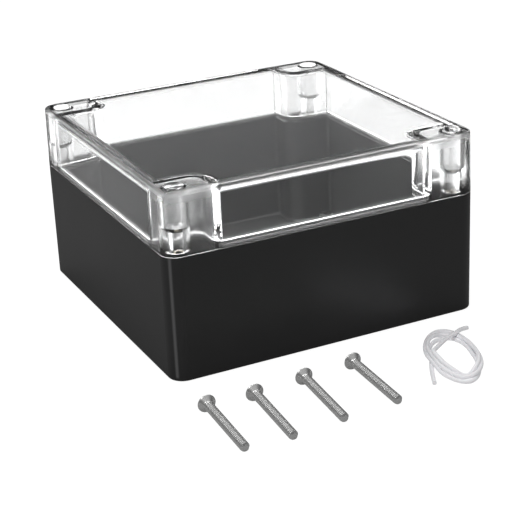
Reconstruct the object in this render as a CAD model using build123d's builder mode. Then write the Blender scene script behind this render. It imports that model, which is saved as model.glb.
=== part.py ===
from build123d import *
import os
from math import atan2, cos, degrees, pi, radians, sin, tan

# Plastic project box: a black base, a clear lid with a screw well in each corner, brass
# inserts in the base, and, lying in front of the box, its four lid screws and the
# sealing cord that goes into the lid's groove. Millimetres, Z up, origin at the centre
# of the base's underside, front side facing -Y.

# Box outline
box_length = 160.0
box_width = 160.0
base_height = 60.0
lid_height = 30.0
corner_radius = 7.5
foot_edge_radius = 0.8
parting_chamfer = 0.4
lid_edge_radius = 1.2
lid_draft = 0.5

# Walls
floor_thickness = 3.0
base_wall = 3.2
lid_wall = 4.4
lid_top = 3.0
pocket_wall = 3.0
floor_fillet = 1.5
lid_inner_fillet = 2.5

# Corner pockets, which lie outside the seal and hold the screw post and the wall screw
pocket_length = 23.7
pocket_width = 16.8
pocket_radius = 5.0
shoulder_radius = 5.0

# Seal: the cord lies in the lid's groove and the base's tongue presses on it
cord_diameter = 2.0
cord_squeeze = 0.2
groove_inset = 1.1
groove_width = 2.2
groove_depth = 3.0
tongue_clearance = 0.4

# Screw posts, inserts and wells
post_inset = 9.0
post_radius = 5.7
insert_radius = 2.8
insert_waist_radius = 2.4
insert_length = 8.0
insert_band = 2.8
insert_recess = 0.2
insert_clearance = 0.05
insert_bore_radius = 1.65
post_core_radius = 2.2
post_core_depth = 32.0
well_radius = 4.5
well_depth = 18.0
screw_hole_radius = 2.25
sink_angle = 90.0

# Countersunk lid screws
screw_length = 40.0
screw_radius = 2.0
head_radius = 4.2
head_rim = 0.3
tip_chamfer = 0.5
recess_span = 4.6
recess_width = 1.2
recess_depth = 2.0
recess_taper = 10.0
screw_head_places = [(-78.4, -110.6), (-56.2, -112.1), (-30.6, -109.6), (-4.7, -107.6)]
screw_turns = [-1.3, -2.2, -2.4, 0.0]

# Wall screw holes through the floor, one in each pocket
wall_hole_radius = 2.3
wall_hole_pad_radius = 4.2
wall_hole_pad_height = 1.0

# Bosses for a circuit board
board_hole_spacing_x = 136.0
board_hole_spacing_y = 100.0
boss_radius = 3.5
boss_height = 6.0
boss_hole_radius = 1.25
boss_hole_depth = 7.0

# Sealing cord as it lies, wound in an oval coil with both ends free
coil_centre = (40.0, -121.4)
coil_turn = 71.0
coil_outer_long_radius = 27.5
coil_outer_short_radius = 12.7
coil_outer_end_radius = 5.8
coil_inner_long_radius = 18.7
coil_inner_short_radius = 8.6
coil_inner_end_radius = 5.0
coil_height = 3.9
coil_edge_radius = 1.0
tail_left_route = [(28.6, -118.4), (23.4, -129.2), (18.3, -139.8)]
tail_right_route = [(51.0, -106.4), (57.5, -101.3), (62.3, -99.5)]
bend_share = 0.45

# Slack for picking a corner or a face by its place
nearby = 0.01

# Worked-out values
box_height = base_height + lid_height
lid_draft_angle = degrees(atan2(lid_draft, lid_height))
tongue_inset = groove_inset + tongue_clearance
tongue_width = groove_width - 2 * tongue_clearance
tongue_height = groove_depth - (cord_diameter - cord_squeeze)
post_spacing_x = box_length - 2 * post_inset
post_spacing_y = box_width - 2 * post_inset
wall_hole_inset_x = (post_inset + post_radius + pocket_length) / 2
wall_hole_inset_y = (pocket_wall + pocket_width) / 2
wall_hole_spacing_x = box_length - 2 * wall_hole_inset_x
wall_hole_spacing_y = box_width - 2 * wall_hole_inset_y
seat_height = box_height - well_depth
cone_height = (head_radius - screw_radius) / tan(radians(sink_angle) / 2)
cord_radius = cord_diameter / 2

os.makedirs("parts", exist_ok=True)


def dry_area(height, inset):
    """The area inside the seal: the box outline less its four corner pockets, inset."""
    with BuildSketch(Plane.XY.offset(height)) as area:
        RectangleRounded(box_length, box_width, corner_radius)
        with GridLocations(box_length, box_width, 2, 2):
            Rectangle(2 * pocket_length, 2 * pocket_width, mode=Mode.SUBTRACT)
        inner_corners = [
            corner
            for corner in area.vertices()
            if abs(corner.X) < box_length / 2 - pocket_length + nearby
            and abs(corner.Y) < box_width / 2 - pocket_width + nearby
        ]
        fillet(inner_corners, radius=pocket_radius)
        shoulders = [
            corner
            for corner in area.vertices()
            if abs(corner.X) > box_length / 2 - nearby
            or abs(corner.Y) > box_width / 2 - nearby
        ]
        fillet(shoulders, radius=shoulder_radius)
        if inset > 0:
            offset(amount=-inset)
    return area.sketch


def pocket_area(height):
    """The open part of the four corner pockets, around the screw posts."""
    with BuildSketch(Plane.XY.offset(height)) as area:
        RectangleRounded(
            box_length - 2 * pocket_wall,
            box_width - 2 * pocket_wall,
            corner_radius - pocket_wall,
        )
        add(dry_area(height, 0), mode=Mode.SUBTRACT)
        with GridLocations(post_spacing_x, post_spacing_y, 2, 2):
            Circle(post_radius, mode=Mode.SUBTRACT)
        with GridLocations(box_length, box_width, 2, 2):
            Rectangle(2 * post_inset, 2 * post_inset, mode=Mode.SUBTRACT)
    return area.sketch


# Base: an open box with a walled-off pocket in each corner and a tongue round the seal line
with BuildPart() as base_shell:
    with BuildSketch():
        RectangleRounded(box_length, box_width, corner_radius)
    extrude(amount=base_height)
    fillet(base_shell.faces().sort_by(Axis.Z)[0].edges(), radius=foot_edge_radius)
    chamfer(base_shell.faces().sort_by(Axis.Z)[-1].edges(), length=parting_chamfer)
    with BuildSketch(Plane.XY.offset(floor_thickness)):
        add(dry_area(floor_thickness, base_wall))
    extrude(amount=base_height, mode=Mode.SUBTRACT)
    floor = base_shell.faces().filter_by(Plane.XY).filter_by(
        lambda face: abs(face.center().Z - floor_thickness) < nearby
    )
    fillet(floor.sort_by(SortBy.AREA)[-1].edges(), radius=floor_fillet)
    with BuildSketch(Plane.XY.offset(floor_thickness)):
        add(pocket_area(floor_thickness))
    extrude(amount=base_height, mode=Mode.SUBTRACT)
    with BuildSketch(Plane.XY.offset(base_height)):
        add(dry_area(base_height, tongue_inset))
        add(dry_area(base_height, tongue_inset + tongue_width), mode=Mode.SUBTRACT)
    extrude(amount=tongue_height)
    with BuildSketch(Plane.XY.offset(floor_thickness)):
        with GridLocations(wall_hole_spacing_x, wall_hole_spacing_y, 2, 2):
            Circle(wall_hole_pad_radius)
    extrude(amount=wall_hole_pad_height)
    with Locations((0, 0, floor_thickness + wall_hole_pad_height)):
        with GridLocations(wall_hole_spacing_x, wall_hole_spacing_y, 2, 2):
            Hole(wall_hole_radius)
    with BuildSketch(Plane.XY.offset(floor_thickness)):
        with GridLocations(board_hole_spacing_x, board_hole_spacing_y, 2, 2):
            Circle(boss_radius)
    extrude(amount=boss_height)
    with Locations((0, 0, floor_thickness + boss_height)):
        with GridLocations(board_hole_spacing_x, board_hole_spacing_y, 2, 2):
            Hole(boss_hole_radius, depth=boss_hole_depth)
    with Locations((0, 0, base_height)):
        with GridLocations(post_spacing_x, post_spacing_y, 2, 2):
            CounterBoreHole(
                radius=post_core_radius,
                counter_bore_radius=insert_radius + insert_clearance,
                counter_bore_depth=insert_length + insert_recess,
                depth=post_core_depth,
            )
base_shell.part.label = "base_shell"
export_step(base_shell.part, "parts/base_shell.step")

# Lid: clear, slightly drafted, with a screw tube in each corner and the seal's groove
with BuildPart() as lid_cover:
    with BuildSketch(Plane.XY.offset(base_height)):
        RectangleRounded(box_length, box_width, corner_radius)
    extrude(amount=lid_height, taper=lid_draft_angle)
    fillet(lid_cover.faces().sort_by(Axis.Z)[-1].edges(), radius=lid_edge_radius)
    with BuildSketch(Plane.XY.offset(base_height)):
        add(dry_area(base_height, lid_wall))
    extrude(amount=lid_height - lid_top, mode=Mode.SUBTRACT)
    ceiling = lid_cover.faces().filter_by(Plane.XY).filter_by(
        lambda face: abs(face.center().Z - (box_height - lid_top)) < nearby
    )
    fillet(ceiling.sort_by(SortBy.AREA)[-1].edges(), radius=lid_inner_fillet)
    with BuildSketch(Plane.XY.offset(base_height)):
        add(pocket_area(base_height))
    extrude(amount=lid_height - lid_top, mode=Mode.SUBTRACT)
    with BuildSketch(Plane.XY.offset(base_height)):
        add(dry_area(base_height, groove_inset))
        add(dry_area(base_height, groove_inset + groove_width), mode=Mode.SUBTRACT)
    extrude(amount=groove_depth, mode=Mode.SUBTRACT)
    with BuildSketch(Plane.XY.offset(seat_height)):
        with GridLocations(post_spacing_x, post_spacing_y, 2, 2):
            Circle(well_radius)
    extrude(amount=well_depth, mode=Mode.SUBTRACT)
    with Locations((0, 0, seat_height)):
        with GridLocations(post_spacing_x, post_spacing_y, 2, 2):
            CounterSinkHole(
                radius=screw_hole_radius,
                counter_sink_radius=well_radius,
                depth=seat_height - base_height,
                counter_sink_angle=sink_angle,
            )
lid_cover.part.label = "lid_cover"
export_step(lid_cover.part, "parts/lid_cover.step")


def threaded_insert(x, y):
    """A brass insert let into the top of a screw post: two wide bands and a waist."""
    with BuildPart(Plane((x, y, base_height - insert_recess))) as insert:
        top_down = (Align.CENTER, Align.CENTER, Align.MAX)
        Cylinder(insert_waist_radius, insert_length, align=top_down)
        Cylinder(insert_radius, insert_band, align=top_down)
        with Locations((0, 0, insert_band - insert_length)):
            Cylinder(insert_radius, insert_band, align=top_down)
        Hole(insert_bore_radius)
    return insert.part


insert_places = [
    (x * post_spacing_x / 2, y * post_spacing_y / 2) for x in (-1, 1) for y in (-1, 1)
]
for number, (x, y) in enumerate(insert_places, start=1):
    insert_part = threaded_insert(x, y)
    insert_part.label = f"threaded_insert_{number}"
    export_step(insert_part, f"parts/threaded_insert_{number}.step")


def lid_screw(x, y, turn):
    """A countersunk screw lying on the floor, resting on its head's rim and its tip."""
    rest_length = screw_length - tip_chamfer - head_rim
    dip = atan2(head_radius - screw_radius, rest_length)
    head_centre_height = head_radius * cos(dip) + head_rim * sin(dip)
    heading = radians(turn)
    axis = Vector(-sin(heading) * cos(dip), cos(heading) * cos(dip), sin(dip))
    across = Vector(cos(heading), sin(heading), 0)
    head_plane = Plane(origin=(x, y, head_centre_height), x_dir=across, z_dir=axis)
    top_down = (Align.CENTER, Align.CENTER, Align.MAX)
    with BuildPart(head_plane) as screw:
        Cylinder(screw_radius, screw_length - tip_chamfer, align=top_down)
        Cylinder(head_radius, head_rim, align=top_down)
        with Locations((0, 0, -head_rim)):
            Cone(screw_radius, head_radius, cone_height, align=top_down)
        with Locations((0, 0, tip_chamfer - screw_length)):
            Cone(screw_radius - tip_chamfer, screw_radius, tip_chamfer, align=top_down)
        with BuildSketch():
            Rectangle(recess_span, recess_width)
            Rectangle(recess_width, recess_span)
        extrude(amount=-recess_depth, taper=recess_taper, mode=Mode.SUBTRACT)
    return screw.part


for number, ((x, y), turn) in enumerate(zip(screw_head_places, screw_turns), start=1):
    screw_part = lid_screw(x, y, turn)
    screw_part.label = f"lid_screw_{number}"
    export_step(screw_part, f"parts/lid_screw_{number}.step")


def coil_oval(long_radius, short_radius, end_radius):
    """An oval of four arcs: two tight ones at its ends and two flat ones between them."""
    end_reach = long_radius - end_radius
    side_radius = (short_radius**2 + end_reach**2 - end_radius**2) / (
        2 * (short_radius - end_radius)
    )
    side_reach = side_radius - short_radius
    end_angle = degrees(atan2(side_reach, end_reach))
    with BuildSketch(Plane.XY * Location(coil_centre, coil_turn)) as oval:
        with BuildLine():
            CenterArc((end_reach, 0), end_radius, -end_angle, 2 * end_angle)
            CenterArc((0, -side_reach), side_radius, end_angle, 180 - 2 * end_angle)
            mirror(about=Plane.XZ)
            CenterArc((-end_reach, 0), end_radius, 180 - end_angle, 2 * end_angle)
        make_face()
    return oval.sketch


# Sealing cord: the outer shape of its coil, and the two ends that leave it
with BuildPart() as seal_cord_coil:
    with BuildSketch():
        add(coil_oval(coil_outer_long_radius, coil_outer_short_radius, coil_outer_end_radius))
        add(
            coil_oval(coil_inner_long_radius, coil_inner_short_radius, coil_inner_end_radius),
            mode=Mode.SUBTRACT,
        )
    extrude(amount=coil_height)
    fillet(seal_cord_coil.edges().group_by(Axis.Z)[-1], radius=coil_edge_radius)
seal_cord_coil.part.label = "seal_cord_coil"
export_step(seal_cord_coil.part, "parts/seal_cord_coil.step")


def bend_radius(route):
    """The largest arc that the corner of a three-point route has room for."""
    first = Vector(*route[1]) - Vector(*route[0])
    second = Vector(*route[2]) - Vector(*route[1])
    turn = first.get_angle(second)
    return bend_share * min(first.length, second.length) / tan(radians(turn) / 2)


def cord_tail(route):
    """One free end of the cord, lying on the floor and cut where the coil begins."""
    radius = bend_radius(route)
    points = [(x, y, cord_radius) for x, y in route]
    with BuildPart() as tail:
        with BuildLine() as path:
            FilletPolyline(*points, radius=radius)
        with BuildSketch(path.line ^ 0):
            Circle(cord_radius)
        sweep()
        add(seal_cord_coil.part, mode=Mode.SUBTRACT)
    length = sum(edge.length for edge in path.edges())
    print("cord end: bend radius", round(radius, 1), "length", round(length, 1))
    print("section times length", round(pi * cord_radius**2 * length, 1))
    print("volume in front of the coil", round(tail.part.volume, 1))
    return tail.part


for number, route in enumerate((tail_left_route, tail_right_route), start=1):
    tail_part = cord_tail(route)
    tail_part.label = f"seal_cord_end_{number}"
    export_step(tail_part, f"parts/seal_cord_end_{number}.step")
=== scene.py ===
from math import atan2, cos, pi, radians, sin

import bpy
import numpy as np
from mathutils import Matrix, Vector


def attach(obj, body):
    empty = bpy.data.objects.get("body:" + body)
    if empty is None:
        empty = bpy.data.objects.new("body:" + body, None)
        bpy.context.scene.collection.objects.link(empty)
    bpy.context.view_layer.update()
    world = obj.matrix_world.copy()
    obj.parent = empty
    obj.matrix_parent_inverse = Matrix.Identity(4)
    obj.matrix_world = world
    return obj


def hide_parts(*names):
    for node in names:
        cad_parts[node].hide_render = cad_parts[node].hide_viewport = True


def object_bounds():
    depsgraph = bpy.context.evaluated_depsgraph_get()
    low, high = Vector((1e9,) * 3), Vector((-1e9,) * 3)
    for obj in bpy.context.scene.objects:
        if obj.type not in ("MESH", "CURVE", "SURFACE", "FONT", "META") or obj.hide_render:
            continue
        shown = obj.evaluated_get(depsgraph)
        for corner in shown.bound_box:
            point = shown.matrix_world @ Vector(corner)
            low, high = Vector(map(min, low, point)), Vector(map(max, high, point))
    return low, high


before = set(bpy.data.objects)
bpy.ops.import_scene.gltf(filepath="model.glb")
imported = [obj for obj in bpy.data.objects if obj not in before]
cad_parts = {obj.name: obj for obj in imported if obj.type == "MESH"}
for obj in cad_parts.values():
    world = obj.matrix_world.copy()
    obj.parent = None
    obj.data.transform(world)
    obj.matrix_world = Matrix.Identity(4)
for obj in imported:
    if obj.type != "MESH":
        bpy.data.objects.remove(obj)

# Looks of a plastic project box: black moulded base, clear lid, steel screws, pale seal cord.
# The frame is in metres: +Z up, front side facing -Y, origin under the base. The sizes named
# in this script are in millimetres, unless their comment says otherwise.

cad_box = [list(corner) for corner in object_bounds()]
MM = 0.001
OUTER_FACE = cad_box[1][0] / MM
LID_TOP = cad_box[1][2] / MM


# Shader nodes that the materials share

def new_group(name, inputs, outputs):
    """An empty shader node group with the named sockets, the inputs with their defaults."""
    group = bpy.data.node_groups.new(name, "ShaderNodeTree")
    for label, default in inputs:
        socket = group.interface.new_socket(
            name=label, in_out="INPUT", socket_type="NodeSocketFloat"
        )
        socket.default_value = default
    for label in outputs:
        group.interface.new_socket(name=label, in_out="OUTPUT", socket_type="NodeSocketFloat")
    entry = group.nodes.new("NodeGroupInput")
    leave = group.nodes.new("NodeGroupOutput")
    return group, entry, leave


def moulded_grain_group():
    """Grain of a surface: Grain is a fine noise and Cloud a broad, slow unevenness."""
    group, entry, leave = new_group(
        "moulded_grain", [("Grain Scale", 900.0), ("Cloud Scale", 14.0)], ["Grain", "Cloud"]
    )
    place = group.nodes.new("ShaderNodeTexCoord")
    grain = group.nodes.new("ShaderNodeTexNoise")
    grain.inputs["Detail"].default_value = 4.0
    grain.inputs["Roughness"].default_value = 0.6
    cloud = group.nodes.new("ShaderNodeTexNoise")
    cloud.inputs["Detail"].default_value = 2.0
    for noise, scale, output in (
        (grain, "Grain Scale", "Grain"), (cloud, "Cloud Scale", "Cloud"),
    ):
        group.links.new(place.outputs["Object"], noise.inputs["Vector"])
        group.links.new(entry.outputs[scale], noise.inputs["Scale"])
        group.links.new(noise.outputs["Fac"], leave.inputs[output])
    return group


moulded_grain = moulded_grain_group()


def grain_node(tree, grain_scale, cloud_scale):
    """The shared grain group placed in a material with its own scales."""
    node = tree.nodes.new("ShaderNodeGroup")
    node.node_tree = moulded_grain
    node.inputs["Grain Scale"].default_value = grain_scale
    node.inputs["Cloud Scale"].default_value = cloud_scale
    return node


def new_material(name):
    """A material with one Principled shader, returned with its node tree and shader."""
    material = bpy.data.materials.new(name)
    material.use_nodes = True
    tree = material.node_tree
    return material, tree, tree.nodes["Principled BSDF"]


def ranged(tree, value, low, high):
    """A 0 to 1 value spread over low to high."""
    spread = tree.nodes.new("ShaderNodeMapRange")
    spread.inputs["To Min"].default_value = low
    spread.inputs["To Max"].default_value = high
    tree.links.new(value, spread.inputs["Value"])
    return spread.outputs["Result"]


def tinted(tree, value, first, second):
    """A colour that is the first where the value is 0 and the second where it is 1, each of them
    red, green and blue or an output."""
    tint = tree.nodes.new("ShaderNodeMix")
    tint.data_type = "RGBA"
    tree.links.new(value, tint.inputs["Factor"])
    for socket, colour in (("A", first), ("B", second)):
        if isinstance(colour, tuple):
            tint.inputs[socket].default_value = (*colour, 1.0)
        else:
            tree.links.new(colour, tint.inputs[socket])
    return tint.outputs["Result"]


def choose(tree, test, no, yes):
    """No where the test is 0 and yes where it is 1, each of them a number or an output."""
    node = tree.nodes.new("ShaderNodeMix")
    tree.links.new(test, node.inputs["Factor"])
    for socket, value in (("A", no), ("B", yes)):
        if isinstance(value, float):
            node.inputs[socket].default_value = value
        else:
            tree.links.new(value, node.inputs[socket])
    return node.outputs["Result"]


def worked_out(tree, operation, first, second=None):
    """A Math node's result for one output, or for two, or for one and a number."""
    node = tree.nodes.new("ShaderNodeMath")
    node.operation = operation
    tree.links.new(first, node.inputs[0])
    if isinstance(second, float):
        node.inputs[1].default_value = second
    elif second is not None:
        tree.links.new(second, node.inputs[1])
    return node.outputs["Value"]


def product(tree, values):
    """The values multiplied together."""
    result = values[0]
    for value in values[1:]:
        result = worked_out(tree, "MULTIPLY", result, value)
    return result


def bump_from(tree, height, strength, distance, shader):
    """Puts a Bump node between a height and the shader's Normal."""
    bump = tree.nodes.new("ShaderNodeBump")
    bump.inputs["Strength"].default_value = strength
    bump.inputs["Distance"].default_value = distance
    tree.links.new(height, bump.inputs["Height"])
    tree.links.new(bump.outputs["Normal"], shader.inputs["Normal"])


# Masks by place on the mouldings. Each pair says where its mask is 0 and where it is 1.

# In from the outer faces, and up from the underside
BASE_INSIDE = (1.5, 2.5)
BASE_ABOVE = (1.2, 2.5)
# Out from the middle planes, in from the outer faces, and down from the lid's top
BLOCK_ALONG_X = (54.5, 55.5)
BLOCK_ALONG_Y = (61.5, 62.5)
BLOCK_INSIDE = (0.8, 1.8)
BLOCK_BELOW = (0.7, 1.5)
# In from the outer faces, and up from the underside
GROOVE_INSIDE = (0.5, 0.9)
GROOVE_TOP = (63.4, 63.1)
# Out from the middle planes, in from the outer faces, up from the underside and down from the top
CEILING_OUT = (72.5, 73.5)
CEILING_INSIDE = (1.5, 2.2)
CEILING_ABOVE = (83.5, 85.0)
CEILING_BELOW = (1.5, 2.5)
# Out from the middle planes, and up from the underside
RIM_OUT = (76.8, 77.8)
RIM_ABOVE = (86.8, 87.8)


def place_on_box(tree):
    """The distances from the box's two middle planes, and the height above its underside."""
    place = tree.nodes.new("ShaderNodeTexCoord")
    split = tree.nodes.new("ShaderNodeSeparateXYZ")
    tree.links.new(place.outputs["Object"], split.inputs["Vector"])
    x = worked_out(tree, "ABSOLUTE", split.outputs["X"])
    y = worked_out(tree, "ABSOLUTE", split.outputs["Y"])
    return x, y, split.outputs["Z"]


def band(tree, value, low, high):
    """0 where a value is at low, 1 where it is at high, and in between between them."""
    node = tree.nodes.new("ShaderNodeMapRange")
    node.inputs["From Min"].default_value = low * MM
    node.inputs["From Max"].default_value = high * MM
    tree.links.new(value, node.inputs["Value"])
    return node.outputs["Result"]


def inside_faces(tree, x, y, depths):
    """Masks that rise from 0 to 1 between two depths in from the outer faces."""
    near, far = depths
    return [band(tree, value, OUTER_FACE - near, OUTER_FACE - far) for value in (x, y)]


def below_top(tree, z, depths):
    """A mask that rises from 0 to 1 between two depths under the lid's top."""
    near, far = depths
    return band(tree, z, LID_TOP - near, LID_TOP - far)


def either_side(tree, x, y, distances):
    """A mask that rises from 0 to 1 between two distances from either middle plane."""
    sides = [band(tree, value, *distances) for value in (x, y)]
    return worked_out(tree, "MAXIMUM", *sides)


def base_inside_matt_painted_light_mask(tree):
    """1 on the base's inner faces and 0 on its outer ones. It makes the inner faces matt and carries
    their painted light: a lighter grey that stands in for the light coming in through the clear lid.
    """
    x, y, z = place_on_box(tree)
    return product(tree, inside_faces(tree, x, y, BASE_INSIDE) + [band(tree, z, *BASE_ABOVE)])


def corner_block_mask(tree, x, y, z):
    """1 on the inner faces of the lid's corner blocks and 0 elsewhere."""
    along = [band(tree, x, *BLOCK_ALONG_X), band(tree, y, *BLOCK_ALONG_Y)]
    inside = inside_faces(tree, x, y, BLOCK_INSIDE)
    return product(tree, along + inside + [below_top(tree, z, BLOCK_BELOW)])


def groove_mask(tree, x, y, z):
    """1 in the seal's groove and 0 elsewhere."""
    return product(tree, [band(tree, z, *GROOVE_TOP)] + inside_faces(tree, x, y, GROOVE_INSIDE))


def ceiling_mask(tree, x, y, z):
    """1 on the rounding between the lid's ceiling and its walls and 0 elsewhere."""
    edge = either_side(tree, x, y, CEILING_OUT)
    heights = [band(tree, z, *CEILING_ABOVE), below_top(tree, z, CEILING_BELOW)]
    return product(tree, [edge] + heights + inside_faces(tree, x, y, CEILING_INSIDE))


def rim_mask(tree, x, y, z):
    """1 on the rounding between the lid's top and its outer walls and 0 elsewhere."""
    return product(tree, [either_side(tree, x, y, RIM_OUT), band(tree, z, *RIM_ABOVE)])


# Materials

def black_abs():
    """Black moulded plastic: smooth and dark outside, and matt inside, where painted light makes it
    a lighter grey for the light that comes in through the clear lid.
    """
    material, tree, shader = new_material("black_abs")
    grain = grain_node(tree, 1400.0, 12.0)
    cloud = grain.outputs["Cloud"]
    inside = base_inside_matt_painted_light_mask(tree)
    outer = tinted(tree, cloud, (0.0060, 0.0060, 0.0063), (0.0085, 0.0085, 0.0089))
    # Painted light: the inner faces get a lighter grey than the black plastic, standing in for the
    # light that comes in through the lid.
    colour = tinted(tree, inside, outer, (0.145, 0.145, 0.147))
    tree.links.new(colour, shader.inputs["Base Color"])
    rough = choose(tree, inside, ranged(tree, cloud, 0.30, 0.40), 0.6)
    tree.links.new(rough, shader.inputs["Roughness"])
    shader.inputs["IOR"].default_value = 1.54
    shader.inputs["Specular IOR Level"].default_value = 0.75
    bump_from(tree, grain.outputs["Grain"], 0.12, 0.0002, shader)
    return material


def clear_polycarbonate():
    """Clear lid plastic: polished walls and top, faintly matt moulded faces in the corners and
    the groove, and softer ones along the roundings."""
    material, tree, shader = new_material("clear_polycarbonate")
    cloud = grain_node(tree, 600.0, 9.0).outputs["Cloud"]
    shader.inputs["Base Color"].default_value = (0.985, 0.987, 0.988, 1.0)
    shader.inputs["Transmission Weight"].default_value = 0.98
    shader.inputs["IOR"].default_value = 1.585
    place = place_on_box(tree)
    moulded = worked_out(
        tree, "MAXIMUM", corner_block_mask(tree, *place), groove_mask(tree, *place)
    )
    rounded = worked_out(tree, "MAXIMUM", ceiling_mask(tree, *place), rim_mask(tree, *place))
    rough = ranged(tree, cloud, 0.0, 0.02)
    rough = choose(tree, moulded, rough, ranged(tree, cloud, 0.18, 0.28))
    rough = choose(tree, rounded, rough, ranged(tree, cloud, 0.30, 0.40))
    tree.links.new(rough, shader.inputs["Roughness"])
    return material


def zinc_steel():
    """Bright plated steel of the screws, with faint streaks of wear."""
    material, tree, shader = new_material("zinc_steel")
    grain = grain_node(tree, 2500.0, 220.0)
    tint = tinted(tree, grain.outputs["Cloud"], (0.68, 0.68, 0.675), (0.80, 0.80, 0.795))
    tree.links.new(tint, shader.inputs["Base Color"])
    rough = ranged(tree, grain.outputs["Grain"], 0.22, 0.34)
    tree.links.new(rough, shader.inputs["Roughness"])
    shader.inputs["Metallic"].default_value = 0.75
    bump_from(tree, grain.outputs["Grain"], 0.03, 0.00002, shader)
    return material


def turned_brass():
    """Turned brass of the thread inserts."""
    material, tree, shader = new_material("turned_brass")
    grain = grain_node(tree, 3000.0, 300.0)
    tint = tinted(tree, grain.outputs["Cloud"], (0.55, 0.50, 0.40), (0.66, 0.61, 0.50))
    tree.links.new(tint, shader.inputs["Base Color"])
    rough = ranged(tree, grain.outputs["Grain"], 0.22, 0.38)
    tree.links.new(rough, shader.inputs["Roughness"])
    shader.inputs["Metallic"].default_value = 1.0
    return material


def pale_silicone():
    """Pale, slightly cool silicone cord with a soft surface."""
    material, tree, shader = new_material("pale_silicone")
    grain = grain_node(tree, 1800.0, 160.0)
    tint = tinted(tree, grain.outputs["Cloud"], (0.94, 0.935, 0.97), (0.97, 0.965, 0.99))
    tree.links.new(tint, shader.inputs["Base Color"])
    rough = ranged(tree, grain.outputs["Grain"], 0.42, 0.55)
    tree.links.new(rough, shader.inputs["Roughness"])
    shader.inputs["Subsurface Weight"].default_value = 0.25
    shader.inputs["Subsurface Radius"].default_value = (1.0, 0.9, 0.9)
    shader.inputs["Subsurface Scale"].default_value = 0.0008
    bump_from(tree, grain.outputs["Grain"], 0.1, 0.00006, shader)
    return material


finish_black = black_abs()
finish_clear = clear_polycarbonate()
finish_steel = zinc_steel()
finish_brass = turned_brass()
finish_cord = pale_silicone()


# Seal cord

CORD_DIAMETER = 2.0
# How near to each other the middles of two strands come
CORD_GAP = 2.04
COIL_CENTRE = np.array([40.9, -121.3])
COIL_TURN = radians(70.0)
COIL_START = radians(92.0)
COIL_TURNS = 2.95
POINTS_A_TURN = 30
# A stretch of the coil can lie on what was laid this many points before it, a third of a turn,
# and the line laid so far is made this many times denser to find how near it comes
TURN_BACK = 10
DENSER = 12
# Half lengths of the coil's oval at its far and near ends and at its left and right sides, in the
# order in which the cord passes them, and how far the ends lean aside
END_REACHES = [18.1, 26.8, 26.7, 24.4, 22.6, 20.8]
END_LEANS = [1.2, 0.0, 0.0, 0.0, 0.6, 0.0]
SIDE_REACHES = [10.9, 8.5, 12.8, 10.5, 11.8, 9.5, 11.2]
# Points of the two free ends, as in the CAD model's routes, of which the coil takes over the
# last left one, and those where the right end crosses the coil
LEFT_END = [(18.3, -139.8), (23.4, -129.2), (28.6, -118.4)]
CROSSING = [(28.9, -121.8), (32.2, -119.0), (36.4, -115.3), (41.0, -111.8), (46.0, -108.6)]
RIGHT_END = [(51.0, -106.4), (57.5, -101.3), (62.3, -99.5)]
# Least heights of the points of CROSSING and RIGHT_END
CROSSING_HEIGHTS = [5.5, 5.2, 4.8, 4.4, 4.0, 3.6, 2.3, 1.0]


def coil_plan(turn):
    """Plan of the coil, walked clockwise: an ellipse u = a cos t, v = b sin t + c cos t, turned by
    COIL_TURN, where the half lengths a and b and the lean c change from lane to lane."""
    walk = COIL_START - 2 * pi * turn
    ends_passed = 0.25 + 0.5 * np.arange(len(END_REACHES))
    sides_passed = 0.5 * np.arange(len(SIDE_REACHES))
    along = np.interp(turn, ends_passed, END_REACHES) * np.cos(walk)
    aside = np.interp(turn, sides_passed, SIDE_REACHES) * np.sin(walk)
    aside += np.interp(turn, ends_passed, END_LEANS) * np.cos(walk)
    axis = np.array([cos(COIL_TURN), sin(COIL_TURN)])
    left = np.array([-sin(COIL_TURN), cos(COIL_TURN)])
    return COIL_CENTRE + along[:, None] * axis + aside[:, None] * left


def evenly_spaced(line, count):
    """A polyline's points replaced by count points evenly spaced along it."""
    steps = np.concatenate([[0], np.cumsum(np.linalg.norm(np.diff(line, axis=0), axis=1))])
    at = np.linspace(0, steps[-1], count)
    return np.stack([np.interp(at, steps, line[:, k]) for k in range(line.shape[1])], axis=-1)


def rest_heights(plan, laid):
    """Height of each plan point: on the floor, or on the strands laid before, whose height adds
    sqrt(gap^2 - distance^2) where they pass nearer than the gap."""
    apart = np.linalg.norm(plan[:, None, :] - laid[None, :, :2], axis=2)
    lift = np.sqrt(np.clip(CORD_GAP**2 - apart**2, 0, None))
    over = np.where(apart < CORD_GAP, laid[None, :, 2] + lift, 0)
    return np.maximum(CORD_DIAMETER / 2, over.max(axis=1))


def lay_cord():
    """The cord's control points: free end, turns of the coil, and the end that crosses it. Each
    stretch comes to rest on what was laid a third of a turn or more before it, and a point that
    would lie lower than the middle of its neighbours is lifted to it."""
    turn = np.arange(0, COIL_TURNS, 1 / POINTS_A_TURN)
    plan = np.concatenate([LEFT_END[:-1], coil_plan(turn), CROSSING, RIGHT_END])
    height = np.full(len(plan), CORD_DIAMETER / 2)
    stretch = TURN_BACK // 2
    for first in range(POINTS_A_TURN // 2, len(plan), stretch):
        known = first - TURN_BACK
        last = min(first + stretch, len(plan))
        laid = np.column_stack([plan[:known], height[:known]])
        laid = evenly_spaced(laid, DENSER * known)
        height[first:last] = rest_heights(plan[first:last], laid)
    end = len(CROSSING_HEIGHTS)
    height[-end:] = np.maximum(height[-end:], CROSSING_HEIGHTS)
    middle = 0.5 * (np.roll(height, 1) + np.roll(height, -1))
    height[1:-1] = np.maximum(height, middle)[1:-1]
    return np.column_stack([plan, height]) * MM


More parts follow.
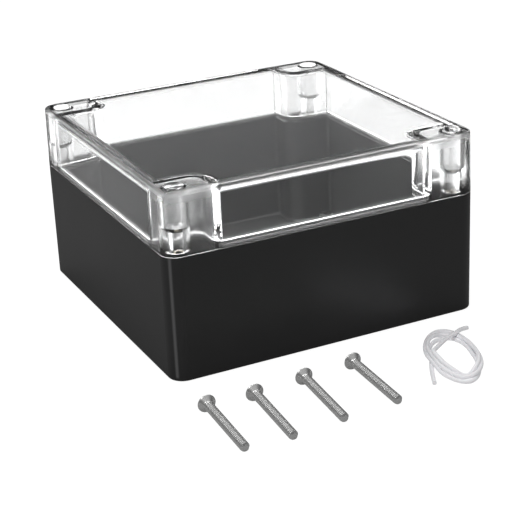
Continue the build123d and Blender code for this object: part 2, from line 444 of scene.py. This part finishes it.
def cord_object(points):
    """A round cord along control points, with closed ends."""
    curve = bpy.data.curves.new("seal_cord", "CURVE")
    curve.dimensions = "3D"
    line = curve.splines.new("NURBS")
    line.points.add(len(points) - 1)
    line.points.foreach_set("co", np.column_stack([points, np.ones(len(points))]).ravel())
    line.order_u = 3
    line.use_endpoint_u = True
    curve.resolution_u = 5
    curve.bevel_depth = CORD_DIAMETER / 2 * MM
    curve.bevel_resolution = 5
    curve.use_fill_caps = True
    curve.materials.append(finish_cord)
    cord = bpy.data.objects.new("seal_cord", curve)
    bpy.context.scene.collection.objects.link(cord)
    return cord


cord_points = lay_cord()
seal_cord = cord_object(cord_points)
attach(seal_cord, "base")
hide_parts("seal_cord_coil", "seal_cord_end_1", "seal_cord_end_2")


# Lid screws

SCREW_LENGTH = 40.0
SCREW_RADIUS = 2.2
HEAD_RADIUS = 4.19
HEAD_RIM = 0.3
TIP_CHAMFER = 0.5
# Radii of the two rings on the tip's flat
TIP_FLAT = [1.1, 0.5]
# How far an edge of the turned surface is rounded
EDGE = 0.1
THREAD_PITCH = 1.1
THREAD_DEPTH = 0.58
# Rows of points in one pitch, height of the whole ridge for 1 where its crest is cut flat, and
# the length over which the first thread deepens
THREAD_ROWS = 12
RIDGE_OVER_CREST = 1.12
RUN_IN = 0.8
RECESS_SPAN = 4.6
RECESS_WIDTH = 1.2
RECESS_DEPTH = 2.0
# Widths of the recess's sloping sides and ends, how far the ends reach past its span, and the
# radius up to which the flat's rings lie close together
SIDE_SLOPE = 0.4
END_SLOPE = 1.3
END_FLARE = 0.3
RECESS_REACH = 2.9
# Radius of the innermost ring, and how many rings the recess, the rest of the flat and the cone have
FIRST_RING = 0.14
RECESS_RINGS = 22
FLAT_RINGS = 4
CONE_RINGS = 8
AROUND = 64
# Middles of the heads' flats on the floor's plan, and the screws' turns from +Y in degrees
SCREW_HEADS = [(-78.4, -110.6), (-56.2, -112.1), (-30.6, -109.6), (-4.7, -107.6)]
SCREW_TURNS = [-1.3, -2.2, -2.4, 0.0]


def closed_faces(rows, columns):
    """Faces, looking outwards, of rows of points that run round an axis from its top to its foot:
    quads between the rows, and triangles from the first and last rows to one point each."""
    row, column = np.meshgrid(np.arange(rows - 1), np.arange(columns), indexing="ij")
    here = (row * columns + column).ravel()
    beside = (row * columns + (column + 1) % columns).ravel()
    quads = np.stack([here, here + columns, beside + columns, beside], axis=-1)
    top = rows * columns
    last = (rows - 1) * columns
    first, second = here[:columns], beside[:columns]
    top_fan = np.stack([np.full(columns, top), first, second], axis=-1)
    foot_fan = np.stack([np.full(columns, top + 1), last + second, last + first], axis=-1)
    return quads.tolist() + top_fan.tolist() + foot_fan.tolist()


def smooth_piece(name, points, faces, finish):
    """A smooth mesh object from points and faces."""
    mesh = bpy.data.meshes.new(name)
    mesh.from_pydata(points.tolist(), [], faces)
    mesh.materials.append(finish)
    mesh.shade_smooth()
    piece = bpy.data.objects.new(name, mesh)
    bpy.context.scene.collection.objects.link(piece)
    return piece


def recess_depth(x, y):
    """Depth of the head's cross recess: the deeper of two crossed slots. A slot's depth falls off
    evenly from its full depth to 0 across its sloping sides and along its sloping ends."""
    slots = []
    for along, across in ((x, y), (y, x)):
        side = np.clip((RECESS_WIDTH / 2 + SIDE_SLOPE / 2 - np.abs(across)) / SIDE_SLOPE, 0, 1)
        end = np.clip((RECESS_SPAN / 2 + END_FLARE - np.abs(along)) / END_SLOPE, 0, 1)
        slots.append(side * end)
    return RECESS_DEPTH * np.maximum(*slots)


def rings(heights, radii, angle):
    """Rings of points round Z, one for each height and radius: x = r cos t, y = r sin t, z = h."""
    height, turn = np.meshgrid(heights, angle, indexing="ij")
    radius = np.asarray(radii)[:, None]
    return np.stack([radius * np.cos(turn), radius * np.sin(turn), height], axis=-1)


def head_flat(angle):
    """The head's flat from its middle to its rim, sunk by the recess's depth."""
    recess_radii = np.linspace(FIRST_RING, RECESS_REACH, RECESS_RINGS)
    rim_radii = np.linspace(RECESS_REACH + 2 * EDGE, HEAD_RADIUS - 0.8 * EDGE, FLAT_RINGS)
    radii = np.concatenate([recess_radii, rim_radii])
    flat = rings(np.zeros(len(radii)), radii, angle)
    flat[..., 2] = -recess_depth(flat[..., 0], flat[..., 1])
    return flat


def head_side(angle, cone_end):
    """The head's rim with its rounded edges, its 45 degree cone, and the neck under it."""
    rim_heights = [-0.3 * EDGE, -EDGE, 0.6 * EDGE - HEAD_RIM, -0.6 * EDGE - HEAD_RIM]
    rim_radii = [HEAD_RADIUS - 0.2 * EDGE, HEAD_RADIUS, HEAD_RADIUS, HEAD_RADIUS - 0.8 * EDGE]
    cone_heights = np.linspace(-HEAD_RIM - 2.5 * EDGE, cone_end + 0.5 * EDGE, CONE_RINGS)
    cone_radii = HEAD_RADIUS + HEAD_RIM + cone_heights
    neck_heights = [cone_end - 1.5 * EDGE, cone_end - 5 * EDGE]
    neck_radii = [SCREW_RADIUS - 0.3 * EDGE, SCREW_RADIUS - 0.6 * EDGE]
    heights = np.concatenate([rim_heights, cone_heights, neck_heights])
    return rings(heights, np.concatenate([rim_radii, cone_radii, neck_radii]), angle)


def threaded_shank(angle, cone_end):
    """The thread: radius = crest radius - depth (1 - ridge), where ridge is a triangle wave of
    z / pitch + angle / 2 pi with its crest cut flat, and the crest radius falls off along the
    tip's chamfer."""
    neck_end = cone_end - 5 * EDGE
    heights = np.arange(neck_end - EDGE, 0.2 * EDGE - SCREW_LENGTH, -THREAD_PITCH / THREAD_ROWS)
    level, turn = np.meshgrid(heights, angle, indexing="ij")
    phase = (turn / (2 * pi) - level / THREAD_PITCH) % 1
    ridge = np.clip(RIDGE_OVER_CREST * (1 - np.abs(2 * phase - 1)), 0, 1)
    run_in = np.clip((neck_end - level) / RUN_IN, 0, 1)
    crest = SCREW_RADIUS + np.clip(level + SCREW_LENGTH - TIP_CHAMFER, None, 0)
    radius = crest - THREAD_DEPTH * (1 - ridge) * run_in
    return np.stack([radius * np.cos(turn), radius * np.sin(turn), level], axis=-1)


def screw_surface():
    """Screw about +Z with its head's flat at 0: rows of points from the recess over the flat, cone
    and thread to the tip, then the middle points of head and tip."""
    angle = np.arange(AROUND) * 2 * pi / AROUND
    cone_end = -(HEAD_RIM + HEAD_RADIUS - SCREW_RADIUS)
    tip = rings([-SCREW_LENGTH, -SCREW_LENGTH], TIP_FLAT, angle)
    rows = np.concatenate([
        head_flat(angle), head_side(angle, cone_end), threaded_shank(angle, cone_end), tip,
    ])
    middles = [[0, 0, -RECESS_DEPTH], [0, 0, -SCREW_LENGTH]]
    return np.concatenate([rows.reshape(-1, 3), middles]), closed_faces(len(rows), AROUND)


def lie_down(points, place, turn):
    """Turns a screw from upright to lying on its head's rim and its tip, at its place."""
    rest = SCREW_LENGTH - TIP_CHAMFER - HEAD_RIM
    dip = atan2(HEAD_RADIUS - SCREW_RADIUS, rest)
    height = HEAD_RADIUS * cos(dip) + HEAD_RIM * sin(dip)
    heading = radians(turn)
    axis = np.array([-sin(heading) * cos(dip), cos(heading) * cos(dip), sin(dip)])
    across = np.array([cos(heading), sin(heading), 0.0])
    third = np.cross(axis, across)
    return points @ np.stack([across, third, axis]) + np.array([*place, height])


screw_points, screw_faces = screw_surface()
for number, (place, turn) in enumerate(zip(SCREW_HEADS, SCREW_TURNS), start=1):
    lying = lie_down(screw_points, place, turn) * MM
    screw = smooth_piece(f"countersunk_screw_{number}", lying, screw_faces, finish_steel)
    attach(screw, "base")
    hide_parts(f"lid_screw_{number}")


# CAD nodes that stay

def refinish(node, finish):
    """Gives a CAD node its finish."""
    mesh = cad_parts[node].data
    mesh.materials.clear()
    mesh.materials.append(finish)


refinish("base_shell", finish_black)
refinish("lid_cover", finish_clear)
for number in range(1, 5):
    refinish(f"threaded_insert_{number}", finish_brass)


# Camera, at the photograph's viewing angle, its place in metres

CAMERA_PLACE = (-0.301211, -0.636853, 0.304303)
CAMERA_RIGHT = Vector((0.893861, -0.446434, -0.041348))
CAMERA_UP = Vector((0.204619, 0.324148, 0.923612))
CAMERA_FORWARD = Vector((0.398929, 0.834041, -0.381092))

camera_data = bpy.data.cameras.new("camera")
camera_data.sensor_width = 36.0
camera_data.lens = 103.257
camera_data.clip_start = 0.01
camera_data.clip_end = 50.0
camera = bpy.data.objects.new("camera", camera_data)
camera_axes = Matrix((CAMERA_RIGHT, CAMERA_UP, -CAMERA_FORWARD)).transposed().to_4x4()
camera.matrix_world = Matrix.Translation(CAMERA_PLACE) @ camera_axes
bpy.context.scene.collection.objects.link(camera)
bpy.context.scene.camera = camera


# Floor, world and lamps

bpy.context.scene.view_settings.view_transform = "Standard"

FLOOR_HALF = 6000.0
# The floor lies this far under the box, so that the two don't touch
FLOOR_BELOW = 0.05
# The number of times that light has met a surface, above which it counts as turned about
DEEP_LIGHT = 4.5
# Upward share of a direction where the bright part of the sky starts and where it is full, and
# the sky's strengths there
SKY_EDGES = (0.45, 0.75)
SKY_STRENGTHS = (0.02, 0.45)
# The point that the lamps look at, in metres
LAMP_AIM = Vector((0.0, 0.0, 0.05))


def stage_strength(tree, plain, mirrored, thin, through, glassy, target):
    """Strength of the stage by the kind of ray that meets it: white for the eye; through for the
    eye looking straight through clear plastic; mirrored for a plain reflection; thin for one off
    the far side of a clear wall; glassy for light turned about inside the clear plastic; and
    plain for light that has met a matt surface."""
    path = tree.nodes.new("ShaderNodeLightPath")
    turned = worked_out(tree, "GREATER_THAN", path.outputs["Glossy Depth"], 0.5)
    deep = worked_out(tree, "GREATER_THAN", path.outputs["Ray Depth"], DEEP_LIGHT)
    matt = worked_out(tree, "GREATER_THAN", path.outputs["Diffuse Depth"], 0.5)
    clear = choose(tree, turned, through, choose(tree, deep, thin, glassy))
    seen = choose(tree, path.outputs["Is Transmission Ray"], mirrored, clear)
    seen = choose(tree, path.outputs["Is Camera Ray"], seen, 1.0)
    tree.links.new(choose(tree, matt, seen, plain), target)


def white_floor():
    """White floor: it takes the object's shadow, and shows white to the eye and through the lid."""
    material = bpy.data.materials.new("white_floor")
    material.use_nodes = True
    tree = material.node_tree
    tree.nodes.remove(tree.nodes["Principled BSDF"])
    output = tree.nodes["Material Output"]
    paper = tree.nodes.new("ShaderNodeBsdfDiffuse")
    paper.inputs["Color"].default_value = (0.27, 0.27, 0.27, 1.0)
    glow = tree.nodes.new("ShaderNodeEmission")
    glow.inputs["Color"].default_value = (0.88, 0.88, 0.88, 1.0)
    stage_strength(
        tree, plain=0.58, mirrored=0.0, thin=0.0, through=1.65, glassy=4.8,
        target=glow.inputs["Strength"],
    )
    both = tree.nodes.new("ShaderNodeAddShader")
    tree.links.new(paper.outputs["BSDF"], both.inputs[0])
    tree.links.new(glow.outputs["Emission"], both.inputs[1])
    tree.links.new(both.outputs["Shader"], output.inputs["Surface"])
    return material


def lay_floor():
    """A square floor just under the box."""
    corners = ((-1, -1), (1, -1), (1, 1), (-1, 1))
    mesh = bpy.data.meshes.new("floor")
    mesh.from_pydata(
        [(x * FLOOR_HALF * MM, y * FLOOR_HALF * MM, -FLOOR_BELOW * MM) for x, y in corners],
        [], [(0, 1, 2, 3)],
    )
    mesh.materials.append(white_floor())
    floor = bpy.data.objects.new("floor", mesh)
    bpy.context.scene.collection.objects.link(floor)


def light_world():
    """White surroundings whose plain reflection is dark low down and bright overhead."""
    world = bpy.data.worlds.new("studio")
    bpy.context.scene.world = world
    world.use_nodes = True
    tree = world.node_tree
    sky = tree.nodes["Background"]
    sky.inputs["Color"].default_value = (1.0, 1.0, 1.0, 1.0)
    place = tree.nodes.new("ShaderNodeTexCoord")
    split = tree.nodes.new("ShaderNodeSeparateXYZ")
    tree.links.new(place.outputs["Generated"], split.inputs["Vector"])
    overhead = tree.nodes.new("ShaderNodeMapRange")
    overhead.inputs["From Min"].default_value = SKY_EDGES[0]
    overhead.inputs["From Max"].default_value = SKY_EDGES[1]
    overhead.inputs["To Min"].default_value = SKY_STRENGTHS[0]
    overhead.inputs["To Max"].default_value = SKY_STRENGTHS[1]
    tree.links.new(split.outputs["Z"], overhead.inputs["Value"])
    stage_strength(
        tree, plain=0.45, mirrored=overhead.outputs["Result"], thin=0.25, through=1.6, glassy=5.0,
        target=sky.inputs["Strength"],
    )


def soft_lamp(name, place, side, watts):
    """A square area lamp at a place in metres, with its side in metres, looking at LAMP_AIM."""
    lamp_data = bpy.data.lights.new(name, "AREA")
    lamp_data.shape = "SQUARE"
    lamp_data.size = side
    lamp_data.energy = watts
    lamp = bpy.data.objects.new(name, lamp_data)
    lamp.location = place
    lamp.rotation_mode = "QUATERNION"
    lamp.rotation_quaternion = (LAMP_AIM - Vector(place)).to_track_quat("-Z", "Y")
    bpy.context.scene.collection.objects.link(lamp)


lay_floor()
light_world()
soft_lamp("key_lamp", (-0.9, -0.5, 1.1), side=0.5, watts=5.0)
soft_lamp("top_lamp", (0.1, 0.3, 1.5), side=0.9, watts=7.0)
